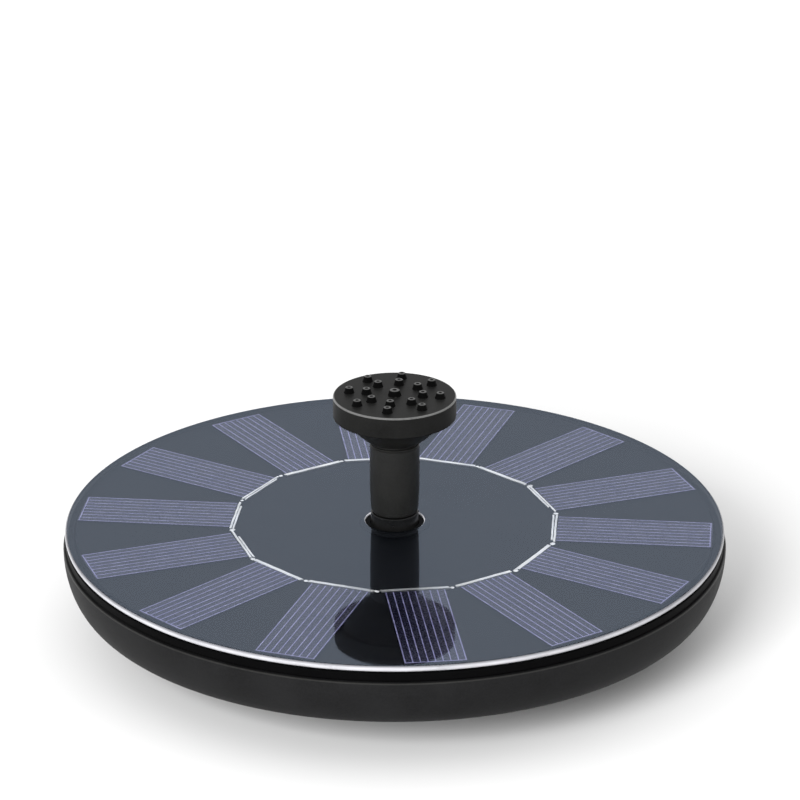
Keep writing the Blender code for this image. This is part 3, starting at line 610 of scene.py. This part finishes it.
def strip(mesh, start, end, width, bottom, thickness, chance):
    """A hand-laid length of flat ribbon between two points: it wanders a little, with ends cut askew."""
    along = (end - start).normalized()
    across = Vector((-along.y, along.x, 0))
    steps = 8
    rows = []
    for i in range(steps + 1):
        wander = across * chance.uniform(-0.06, 0.06) * mm
        skew = along * chance.uniform(-0.25, 0.25) * mm if i in (0, steps) else Vector()
        lift = Vector((0, 0, chance.uniform(0, 0.02) * mm))
        middle = start.lerp(end, i / steps) + wander
        low, high = Vector((0, 0, bottom)), Vector((0, 0, bottom + thickness)) + lift
        left, right = middle + across * width / 2 + skew, middle - across * width / 2 - skew
        rows.append([mesh.verts.new(p) for p in (left + low, right + low, right + high, left + high)])
    for before, after in zip(rows, rows[1:], strict=False):
        for i in range(4):
            mesh.faces.new((before[i], before[(i + 1) % 4], after[(i + 1) % 4], after[i]))
    mesh.faces.new(rows[0][::-1])
    mesh.faces.new(rows[-1])


def solder(mesh, at, radius, height, chance):
    """A flattened bead of solder."""
    shape = Matrix.Diagonal((radius * chance.uniform(0.8, 1.5), radius, height, 1))
    turn_by = Matrix.Rotation(chance.uniform(0, math.pi), 4, "Z")
    where = Matrix.Translation(at) @ turn_by @ shape
    bmesh.ops.create_icosphere(mesh, subdivisions=3, radius=1, matrix=where)


def make_ribbon():
    """Tinned ribbon soldered by hand: a length for each cell, a bead at each corner, and some doubled."""
    chance = random.Random(RIBBON_SEED)
    corner = 1 / math.cos(math.pi / CELL_COUNT)
    radius = (CELL_INNER - 0.7 * mm) * corner
    bottom, thickness = CELL_LOW.z + 0.02 * mm, RIBBON_THICKNESS
    mesh = bmesh.new()
    for i, angle in enumerate(around(CELL_COUNT, STAR_TURN)):
        ends = [
            Vector((*on_circle(radius + chance.uniform(-0.25, 0.25) * mm, a), 0))
            for a in (angle, angle + math.tau / CELL_COUNT)
        ]
        start, end = (ends[k].lerp(ends[1 - k], chance.uniform(0.03, 0.07)) for k in (0, 1))
        if i in DOUBLED_SIDES:
            inward = -(ends[0] + ends[1]).normalized() * 0.3 * mm
            late = start.lerp(end, chance.uniform(0.05, 0.3))
            strip(mesh, start - inward, end - inward, 0.5 * mm, bottom, thickness, chance)
            strip(mesh, late + inward, end + inward * 1.5, 0.45 * mm, bottom, thickness, chance)
        else:
            strip(mesh, start, end, chance.uniform(0.9, 1.1) * mm, bottom, thickness, chance)
        bead = Vector((ends[0].x, ends[0].y, bottom + thickness * 0.6))
        solder(mesh, bead, chance.uniform(0.4, 0.65) * mm, 0.14 * mm, chance)
    place(add_piece("soldered_ribbon", mesh, [FINISHES["tin"]]), "float", ["bus_ribbon"])


def make_tray():
    """The tray under the deck. Its rim is the dark band between the lip and the shell."""
    rim_bottom = SHELL_HIGH.z + 0.2 * mm
    top = TRAY_HIGH.z
    band = TRAY_HIGH.x
    spigot_bore = TRAY_SPIGOT - 1.5 * mm
    outline = rounded([
        (DECK_HOLE, TRAY_BOTTOM, 0.2 * mm),
        (spigot_bore, TRAY_BOTTOM, 0),
        (spigot_bore, TRAY_LOW.z, 0.2 * mm),
        (TRAY_SPIGOT, TRAY_LOW.z, 0.4 * mm),
        (TRAY_SPIGOT, rim_bottom, 0),
        (band, rim_bottom, 0.3 * mm),
        (band, top, 0.2 * mm),
        (BAND_BORE, top, 0.2 * mm),
        (BAND_BORE, TRAY_TOP, 0),
        (DECK_HOLE, TRAY_TOP, 0.2 * mm),
    ])
    piece = turned("dark_band_tray", outline, [FINISHES["gloss"]], FINE)
    hole = bmesh.new()
    peg(hole, LEAD_HOLE_RADIUS, TRAY_BOTTOM - 1 * mm, TRAY_TOP + 1 * mm, (LEAD_HOLE_X, 0))
    combine(piece, hole, "DIFFERENCE")
    place(piece, "float", ["deck_tray"])


# The float's bowl and the strainer.


def bowl_curve(inset, steps):
    """The quarter ellipse where the bowl's flat bottom turns up into its side."""
    spring = SHELL_HIGH.z - 0.2 * mm
    across = SHELL_HIGH.x - SHELL_FLAT - inset
    rise = spring - SHELL_LOW.z - inset
    angles = [-math.pi / 2 * (1 - i / steps) for i in range(steps + 1)]
    return [(SHELL_FLAT + across * math.cos(a), spring + rise * math.sin(a)) for a in angles]


def make_shell():
    """The matte bowl, with the posts and ribs inside."""
    top_edge = arc(0.3 * mm, 0, math.pi / 2, 4, (SHELL_HIGH.x - 0.3 * mm, SHELL_HIGH.z - 0.3 * mm))
    outline = [
        *arc(0.3 * mm, math.pi, math.pi * 1.5, 3, (SHELL_OPENING + 0.3 * mm, SHELL_LOW.z + 0.3 * mm)),
        *[p for p in bowl_curve(0, 28) if p[1] < SHELL_HIGH.z - 0.35 * mm],
        *top_edge,
        (SHELL_HIGH.x - WALL, SHELL_HIGH.z),
        *reversed(bowl_curve(WALL, 14)),
        (SHELL_OPENING, SHELL_LOW.z + WALL),
    ]
    finishes, index = finish_slots("matte", "nozzle")
    piece = turned("float_bowl", outline, finishes, FINE)
    for face in piece.data.polygons:
        if from_axis(face) > SHELL_HIGH.x - 0.35 * mm and face.normal.z > 0.1:
            face.material_index = index["nozzle"]
    inside = SHELL_LOW.z + WALL / 2
    added, removed = bmesh.new(), bmesh.new()
    for angle in around(SCREW_COUNT, math.pi / 4):
        centre = on_circle(SCREW_CIRCLE, angle)
        peg(added, POST_RADIUS, inside, POST_TOP, centre)
        peg(removed, POST_BORE, SHELL_LOW.z - 1 * mm, POST_TOP - 1.4 * mm, centre)
    for angle in around(RIB_COUNT, math.pi / RIB_COUNT):
        rib = rectangle(RIB_START, SHELL_FLAT + 0.5 * mm, -RIB_THICKNESS / 2, RIB_THICKNESS / 2)
        extrude(added, rotated(rib, angle), inside, TRAY_BOTTOM - 0.3 * mm)
    combine(piece, added, "UNION")
    combine(piece, removed, "DIFFERENCE")
    place(piece, "float", ["float_shell"])


def slot_plan(x0, x1, half):
    """A slot along X with round ends."""
    outer_end = arc(half, -math.pi / 2, math.pi / 2, 6, (x1 - half, 0))
    return outer_end + arc(half, math.pi / 2, math.pi * 1.5, 6, (x0 + half, 0))


def make_strainer():
    """The strainer cup with rounded slots and two grip ribs."""
    outer = STRAINER_HIGH.x
    inner, floor, top = outer - STRAINER_WALL, STRAINER_FLOOR, STRAINER_HIGH.z
    outline = [
        (0, 0),
        *arc(2.2 * mm, -math.pi / 2, 0, 8, (outer - 2.2 * mm, 2.2 * mm)),
        *arc(0.35 * mm, 0, math.pi / 2, 3, (outer - 0.35 * mm, top - 0.35 * mm)),
        *arc(0.35 * mm, math.pi / 2, math.pi, 3, (inner + 0.35 * mm, top - 0.35 * mm)),
        *arc(1.0 * mm, 0, -math.pi / 2, 4, (inner - 1.0 * mm, floor + 1.0 * mm)),
        (0, floor),
    ]
    piece = turned("strainer_basket", outline, [FINISHES["matte"]], FINE)
    grips, slots = bmesh.new(), bmesh.new()
    for angle in (math.pi / 2, -math.pi / 2):
        grip = rectangle(outer - 0.8 * mm, outer + 1.2 * mm, -5 * mm, 5 * mm)
        extrude(grips, rotated(grip, angle), 3.0 * mm, 5.0 * mm)
    for angle in around(SIDE_SLOTS, math.pi / SIDE_SLOTS):
        if abs(math.cos(angle)) > 0.2:
            side = rectangle(inner - 1 * mm, outer + 1 * mm, -1.1 * mm, 1.1 * mm)
            extrude(slots, rotated(side, angle), 2.9 * mm, 6.9 * mm)
    for angle in around(FLOOR_SLOTS):
        extrude(slots, rotated(slot_plan(12 * mm, 25 * mm, 1 * mm), angle), -1 * mm, floor + 1 * mm)
    combine(piece, grips, "UNION")
    combine(piece, slots, "DIFFERENCE")
    place(piece, "strainer", ["strainer_cup"])


# The nozzle.


def make_outlet():
    """The outlet pipe: its collar is the black ring that the riser stands on."""
    bottom, top = PIPE_LOW.z, PIPE_HIGH.z
    outline = rounded([
        (WATERWAY, bottom, 0),
        (OUTLET_FOOT_RADIUS, bottom, 0.2 * mm),
        (OUTLET_FOOT_RADIUS, OUTLET_STEP_BOTTOM, 0),
        (OUTLET_STEP_RADIUS, OUTLET_STEP_BOTTOM, 0.2 * mm),
        (OUTLET_STEP_RADIUS, OUTLET_STEP_TOP, 0.2 * mm),
        (OUTLET_NECK_RADIUS, OUTLET_STEP_TOP, 0.3 * mm),
        (OUTLET_NECK_RADIUS, COLLAR_BOTTOM, 0.3 * mm),
        (COLLAR_RADIUS, COLLAR_BOTTOM, 0.3 * mm),
        (COLLAR_RADIUS, COLLAR_TOP, 0.15 * mm),
        (SPIGOT_RADIUS, COLLAR_TOP, 0),
        (SPIGOT_RADIUS, top, 0.6 * mm),
        (WATERWAY, top, 0.2 * mm),
    ])
    piece = turned("outlet_tube", outline, [FINISHES["collar"]])
    place(piece, "float", ["outlet_pipe"])


def make_riser():
    """The barrel: narrow at its foot and fuller in the middle, with a step near the foot and a top ridge."""
    bottom, top = RISER_LOW.z, RISER_HIGH.z
    foot, radius, swell = COLLAR_RADIUS, RISER_RADIUS, 0.14 * mm
    start, end = bottom + 1.1 * mm, top - 0.6 * mm
    steps = 16
    side = [
        (foot + (radius - foot) * t + swell * math.sin(math.pi * t), start + (end - start) * t)
        for t in (i / steps for i in range(steps + 1))
    ]
    outline = [
        *arc(0.2 * mm, math.pi, math.pi * 1.5, 3, (4.8 * mm, bottom + 0.2 * mm)),
        *arc(0.5 * mm, -math.pi / 2, -0.2, 5, (foot - 0.65 * mm, bottom + 0.5 * mm)),
        (foot - 0.15 * mm, bottom + 0.78 * mm),
        (foot - 0.02 * mm, bottom + 0.88 * mm),
        *side,
        (radius - 0.12 * mm, top - 0.5 * mm),
        (radius - 0.12 * mm, top - 0.42 * mm),
        *arc(0.12 * mm, -0.6, math.pi / 2, 4, (radius - 0.1 * mm, top - 0.14 * mm)),
        (4.6 * mm, top),
    ]
    piece = turned("riser_barrel", outline, [FINISHES["nozzle"]])
    place(piece, "riser", ["riser_tube"])


def make_funnel():
    """The funnel under the spray cap, with its spigot in the riser."""
    bottom = FUNNEL_LOW.z
    neck = bottom + 5.2 * mm
    foot, wide = neck + 0.4 * mm, CAP_LOW.z
    reach = FUNNEL_HIGH.x - 0.4 * mm - RISER_RADIUS
    steps = 12
    flare = [
        (RISER_RADIUS + reach * t**0.8, foot + (wide - foot) * t)
        for t in ((i / steps) ** 1.5 for i in range(steps + 1))
    ]
    outline = [
        (HEAD_WAY, bottom),
        (SPIGOT_RADIUS - 0.3 * mm, bottom),
        (SPIGOT_RADIUS, bottom + 0.3 * mm),
        (SPIGOT_RADIUS, neck),
        *arc(0.15 * mm, -math.pi / 2, 0, 3, (RISER_RADIUS - 0.15 * mm, neck + 0.15 * mm)),
        *flare,
        (FUNNEL_HIGH.x, wide),
        (FUNNEL_HIGH.x, FUNNEL_HIGH.z),
        (10.2 * mm, FUNNEL_HIGH.z),
        (HEAD_WAY, neck + 1.4 * mm),
    ]
    piece = turned("spray_head_funnel", outline, [FINISHES["nozzle"]])
    place(piece, "head", ["spray_funnel"])


def jet_outlines(size):
    """One jet's nipple and the hole through it, as outlines to turn."""
    foot, tip, bore = JET_FOOT * size, JET_TIP * size, JET_BORE * size
    base, top = HEAD_TOP - HEAD_SKIN / 2, CAP_HIGH.z
    below, above = HEAD_TOP - HEAD_SKIN - 1 * mm, top + 1 * mm
    nipple = [
        (0, base),
        (foot + 0.1 * mm, base),
        (foot + 0.1 * mm, HEAD_TOP),
        (foot, HEAD_TOP + 0.12 * mm),
        *arc(0.2 * mm, 0.2, math.pi / 2, 3, (tip - 0.18 * mm, top - 0.2 * mm)),
        (0, top),
    ]
    hole = [
        (0, below),
        (bore, below),
        (bore, top - 0.1 * mm),
        (bore * 1.25, top + 0.05 * mm),
        (bore * 1.25, above),
        (0, above),
    ]
    return nipple, hole


def make_cap():
    """The spray cap: a short nipple for each jet, with a hole through it, on a plate whose rim has a painted
    highlight. The nipples' tops have a painted highlight and their sides painted shade.
    """
    radius, top = CAP_HIGH.x, CAP_HIGH.z
    inner, bottom = radius - HEAD_WALL, CAP_LOW.z
    shell = [
        (0, HEAD_TOP - HEAD_SKIN),
        (inner, HEAD_TOP - HEAD_SKIN),
        (inner, bottom),
        *arc(0.3 * mm, -math.pi / 2, 0, 4, (radius - 0.3 * mm, bottom + 0.3 * mm)),
        *arc(0.4 * mm, 0, math.pi / 2, 6, (radius - 0.4 * mm, HEAD_TOP - 0.4 * mm)),
        (0, HEAD_TOP),
    ]
    finishes, index = finish_slots("head", "jet", "edge", "tip")
    piece = turned("spray_head_cap", shell, finishes, 144)
    jets, holes = bmesh.new(), bmesh.new()
    for ring_radius, count in JET_RINGS:
        nipple, hole = jet_outlines(1.0 if ring_radius else MIDDLE_JET)
        for angle in around(count, JET_START):
            centre = on_circle(ring_radius, angle)
            turn(jets, nipple, 20, centre)
            turn(holes, hole, 16, centre)
    combine(piece, jets, "UNION")
    combine(piece, holes, "DIFFERENCE")
    for face in piece.data.polygons:
        # Jet tops take the painted highlight, jet sides the painted shade, and the rim's fillet the painted
        # highlight.
        if face.center.z > top - 0.25 * mm and face.normal.z > 0.7:
            face.material_index = index["tip"]
        elif face.center.z > HEAD_TOP + 0.02 * mm:
            face.material_index = index["jet"]
        elif 0.1 < face.normal.z < 0.97 and from_axis(face) > radius - 0.45 * mm:
            face.material_index = index["edge"]
    place(piece, "head", ["spray_cap"])


def dress_inside():
    """Finishes for the CAD nodes that stay as they are."""
    dress_nodes(["backing_board", "stator_board"], "board")
    dress_nodes(["panel_sealant"], "silicone")
    dress_nodes(["deck_seal", "housing_gasket", "lower_bush", "upper_bush"], "rubber")
    dress_nodes(["pump_housing", "volute_cover", "impeller"], "matte")
    dress_nodes([f"housing_screw_{i + 1}" for i in range(SCREW_COUNT)], "screw")
    dress_nodes(["lower_claw_pole", "upper_claw_pole"], "steel")
    dress_nodes(["coil_bobbin"], "nylon")
    dress_nodes(["coil_winding"], "copper")
    dress_nodes(["rotor_magnet"], "ferrite")
    dress_nodes(["motor_shaft", "thrust_washer", "smoothing_capacitor"], "ceramic")
    dress_nodes(["driver_chip", "hall_sensor"], "epoxy")
    dress_nodes(["panel_lead_red"], "red")
    dress_nodes(["panel_lead_black"], "black")


# The studio.


def make_floor():
    """A pale floor with painted shade: greyer round the float, and lighter farther out."""
    mesh = bmesh.new()
    bmesh.ops.create_circle(mesh, cap_ends=True, segments=64, radius=4.0)
    finish, tree, surface = new_finish("pale_floor")
    clouds = noise(tree, 6, 3)
    tint = blend(tree, between(tree, clouds, 0, 1), (0.63, 0.63, 0.63, 1.0), (0.65, 0.65, 0.65, 1.0))
    where = node(tree, "ShaderNodeTexCoord").outputs["Object"]
    away = node(tree, "ShaderNodeVectorMath", {0: where}, operation="LENGTH").outputs["Value"]
    # Painted shade round the float fades out to a lighter floor far off, which makes up for the lamp's
    # falloff.
    tint = blend(tree, between(tree, away, 0, 1, 0.12, 0.5), tint, (0.90, 0.90, 0.90, 1.0))
    shader = node(tree, "ShaderNodeBsdfDiffuse", {"Color": tint})
    tree.links.new(shader.outputs[0], surface)
    floor = add_piece("floor", mesh, [finish])
    floor.location.z = STRAINER_LOW.z - 0.02 * mm


def make_world():
    """A white studio: even near the horizon, brighter overhead."""
    world = bpy.data.worlds.new("studio")
    bpy.context.scene.world = world
    world.use_nodes = True
    tree = world.node_tree
    tree.nodes.clear()
    direction = node(tree, "ShaderNodeTexCoord").outputs["Generated"]
    height = node(tree, "ShaderNodeSeparateXYZ", {0: direction}).outputs["Z"]
    low = between(tree, height, 0.85, 1.1, 0.36, 0.47)
    high = between(tree, height, 0.0, 0.3, 0.6, 0.95)
    strength = maths(tree, "ADD", low, high)
    background = node(tree, "ShaderNodeBackground", {"Color": (1, 1, 1, 1), "Strength": strength})
    output = node(tree, "ShaderNodeOutputWorld")
    tree.links.new(background.outputs[0], output.inputs["Surface"])


def make_light(name, azimuth, elevation, distance, size, power):
    """A soft square lamp that looks at the deck, that many degrees round from the front and up."""
    data = bpy.data.lights.new(name, "AREA")
    data.shape = "SQUARE"
    data.size = size
    data.energy = power
    lamp = bpy.data.objects.new(name, data)
    round_by = Matrix.Rotation(math.radians(azimuth), 3, "Z")
    up_by = Matrix.Rotation(math.radians(-elevation), 3, "X")
    away = round_by @ up_by @ Vector((0, -1, 0))
    lamp.location = Vector((0, 0, DECK_TOP)) + away * distance
    lamp.rotation_euler = (-away).to_track_quat("-Z", "Y").to_euler()
    lamp.visible_camera = False
    bpy.context.scene.collection.objects.link(lamp)
    return lamp


def make_lights():
    """A key from the front left that fills under the float. Gloss shows only the even studio."""
    key = make_light("key", KEY_AZIMUTH, KEY_ELEVATION, KEY_DISTANCE, KEY_SIZE, KEY_POWER)
    key.visible_glossy = False


def make_camera():
    """Far off with a long lens, looking down on the deck, which sits low in the picture."""
    deck = Vector((0, 0, DECK_TOP))
    away = Vector((0, -math.cos(CAMERA_ELEVATION), math.sin(CAMERA_ELEVATION)))
    up = Vector((0, math.sin(CAMERA_ELEVATION), math.cos(CAMERA_ELEVATION)))
    data = bpy.data.cameras.new("camera")
    data.sensor_width = 36
    data.lens = CAMERA_LENS
    camera = bpy.data.objects.new("camera", data)
    camera.location = deck + away * CAMERA_DISTANCE
    aim = deck + up * AIM_UP + Vector((AIM_ACROSS, 0, 0))
    camera.rotation_euler = (aim - camera.location).to_track_quat("-Z", "Y").to_euler()
    bpy.context.scene.collection.objects.link(camera)
    bpy.context.scene.camera = camera


make_camera()
make_floor()
make_world()
make_lights()
bpy.context.scene.view_settings.view_transform = "Standard"

make_cover()
make_cells()
make_ribbon()
make_tray()
make_shell()
make_strainer()
make_outlet()
make_riser()
make_funnel()
make_cap()
dress_inside()
